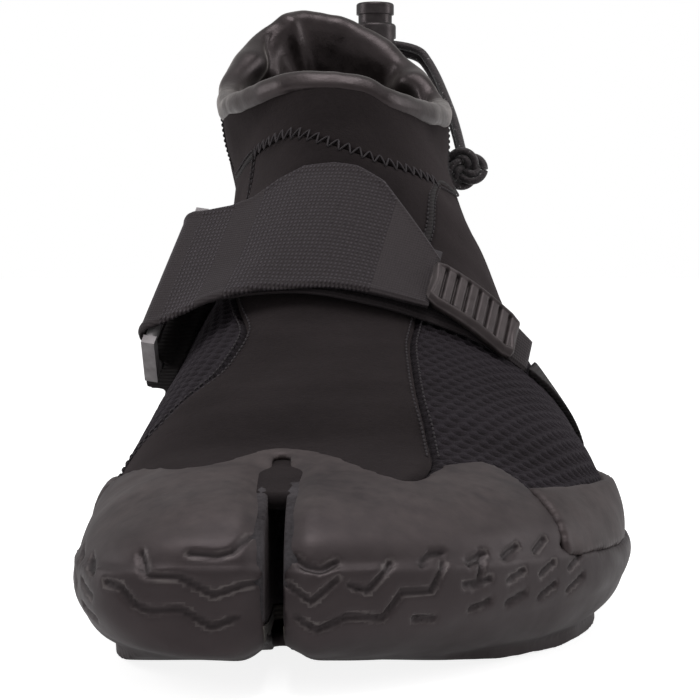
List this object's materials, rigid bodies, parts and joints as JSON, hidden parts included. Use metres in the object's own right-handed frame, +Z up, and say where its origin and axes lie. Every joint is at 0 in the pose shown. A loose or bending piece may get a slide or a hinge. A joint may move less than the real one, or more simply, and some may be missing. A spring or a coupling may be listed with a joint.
{
  "type": "split-toe neoprene boot",
  "caption": "Low-cut split-toe neoprene water boot for the left foot, with a wrapped rubber sole, an instep strap through a ring and a collar drawcord with a cord lock.",
  "frame": {"origin": "on the floor, below the middle of the boot's box", "axes": "+Z up, the toe points to -Y, the outer side of the foot is +X"},
  "size_m": [0.1075, 0.286, 0.147],
  "materials": {
    "sole_rubber": "matte moulded rubber",
    "cap_rubber": "satin moulded rubber",
    "neoprene": "matte brushed neoprene",
    "air_mesh": "dimpled spacer mesh",
    "smooth_skin": "semi-gloss smooth-skin neoprene",
    "knit_tape": "ribbed knitted tape",
    "webbing": "woven hook and loop webbing",
    "hook": "moulded hooks",
    "tab_rubber": "satin moulded rubber",
    "ring_plastic": "acetal",
    "cord": "braided elastic with pale flecks",
    "lock_plastic": "acetal",
    "spring_steel": "spring wire",
    "foam": "closed-cell foam",
    "board": "woven board"
  },
  "bodies": {
    "boot": {"outsole": "sole_rubber", "toe_cap": "cap_rubber", "lateral_rand": "cap_rubber", "medial_rand": "cap_rubber", "heel_counter": "cap_rubber", "insole_board": "board", "footbed": "foam", "toe_gusset": "neoprene", "vamp": "neoprene", "medial_mesh": "air_mesh", "lateral_mesh": "air_mesh", "front_cuff": "smooth_skin", "medial_ankle_panel": "smooth_skin", "lateral_ankle_panel": "smooth_skin", "medial_cuff_binding": "knit_tape", "lateral_cuff_binding": "knit_tape", "heel_seam_tape": "knit_tape", "collar_drawcord": "cord", "collar_binding": "smooth_skin", "strap_lower": "webbing", "hook_patch": "hook", "ring_anchor": "webbing", "strap_anchor_patch": "webbing", "cord_strand_upper": "cord", "cord_strand_lower": "cord", "cord_knot": "cord", "cord_outlet": "tab_rubber"},
    "ring": {"strap_ring": "ring_plastic"},
    "flap": {"strap_flap": "webbing"},
    "tab": {"pull_tab": "tab_rubber"},
    "lock": {"lock_barrel": "lock_plastic", "lock_spring": "spring_steel"},
    "button": {"lock_button": "lock_plastic"}
  },
  "joints": [
    {"name": "ring_rock", "type": "hinge", "parent": "boot", "child": "ring", "pos_m": [-0.04245, -0.00035, 0.06017], "axis": [-0.2091, -0.7303, -0.6503], "range_deg": [0, 12]},
    {"name": "strap_open", "type": "hinge", "parent": "ring", "child": "flap", "pos_m": [-0.04265, -0.00657, 0.06722], "axis": [-0.2091, -0.7303, -0.6503], "range_deg": [0, 110]},
    {"name": "tab_lift", "type": "hinge", "parent": "flap", "child": "tab", "pos_m": [0.01713, -0.02063, 0.06841], "axis": [-0.2091, -0.7303, -0.6503], "range_deg": [0, 40]},
    {"name": "lock_slide", "type": "slide", "parent": "boot", "child": "lock", "axis": [-1, 0, 0], "range_m": [0, 0.004]},
    {"name": "button_press", "type": "slide", "parent": "lock", "child": "button", "axis": [0, 0, -1], "range_m": [0, 0.0025], "stiffness_N_per_m": 400, "springref_m": -0.003, "deforming": ["lock_spring"]}
  ]
}
